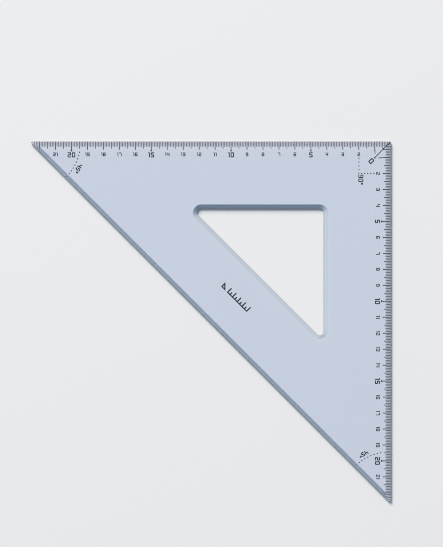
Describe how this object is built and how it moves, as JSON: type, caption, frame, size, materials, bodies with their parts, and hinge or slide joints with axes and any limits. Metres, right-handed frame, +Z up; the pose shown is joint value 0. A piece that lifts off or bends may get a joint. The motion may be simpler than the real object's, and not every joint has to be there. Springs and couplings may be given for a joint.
{
  "type": "set square",
  "caption": "Flat clear 45-degree set square with bevelled edges, a triangular window and centimetre scales along both legs.",
  "frame": {"origin": "centre of the square box round the plate, at its underside", "axes": "+Z up out of the bevelled face; +Y out of the graduated leg that runs along X; +X out of the graduated leg that runs along Y, so that the right angle is at +X +Y"},
  "size_m": [0.2252, 0.2252, 0.0022],
  "materials": {
    "clear_plastic": "clear moulded polystyrene with a pale blue tint, polished",
    "marking_foil": "dull black stamped marking"
  },
  "bodies": {
    "root": {"plate": "clear_plastic", "zero_pointer": "marking_foil", "x_scale_line_01": "marking_foil", "x_scale_line_02": "marking_foil", "x_scale_line_03": "marking_foil", "x_scale_line_04": "marking_foil", "x_scale_line_05": "marking_foil", "x_scale_line_06": "marking_foil", "x_scale_line_07": "marking_foil", "x_scale_line_08": "marking_foil", "x_scale_line_09": "marking_foil", "x_scale_line_10": "marking_foil", "x_scale_line_11": "marking_foil", "x_scale_line_12": "marking_foil", "x_scale_line_13": "marking_foil", "x_scale_line_14": "marking_foil", "x_scale_line_15": "marking_foil", "x_scale_line_16": "marking_foil", "x_scale_line_17": "marking_foil", "x_scale_line_18": "marking_foil", "x_scale_line_19": "marking_foil", "x_scale_line_20": "marking_foil", "x_scale_line_21": "marking_foil", "x_scale_line_22": "marking_foil", "y_scale_line_01": "marking_foil", "y_scale_line_02": "marking_foil", "y_scale_line_03": "marking_foil", "y_scale_line_04": "marking_foil", "y_scale_line_05": "marking_foil", "y_scale_line_06": "marking_foil", "y_scale_line_07": "marking_foil", "y_scale_line_08": "marking_foil", "y_scale_line_09": "marking_foil", "y_scale_line_10": "marking_foil", "y_scale_line_11": "marking_foil", "y_scale_line_12": "marking_foil", "y_scale_line_13": "marking_foil", "y_scale_line_14": "marking_foil", "y_scale_line_15": "marking_foil", "y_scale_line_16": "marking_foil", "y_scale_line_17": "marking_foil", "y_scale_line_18": "marking_foil", "y_scale_line_19": "marking_foil", "y_scale_line_20": "marking_foil", "y_scale_line_21": "marking_foil", "y_scale_line_22": "marking_foil"}
  },
  "joints": []
}
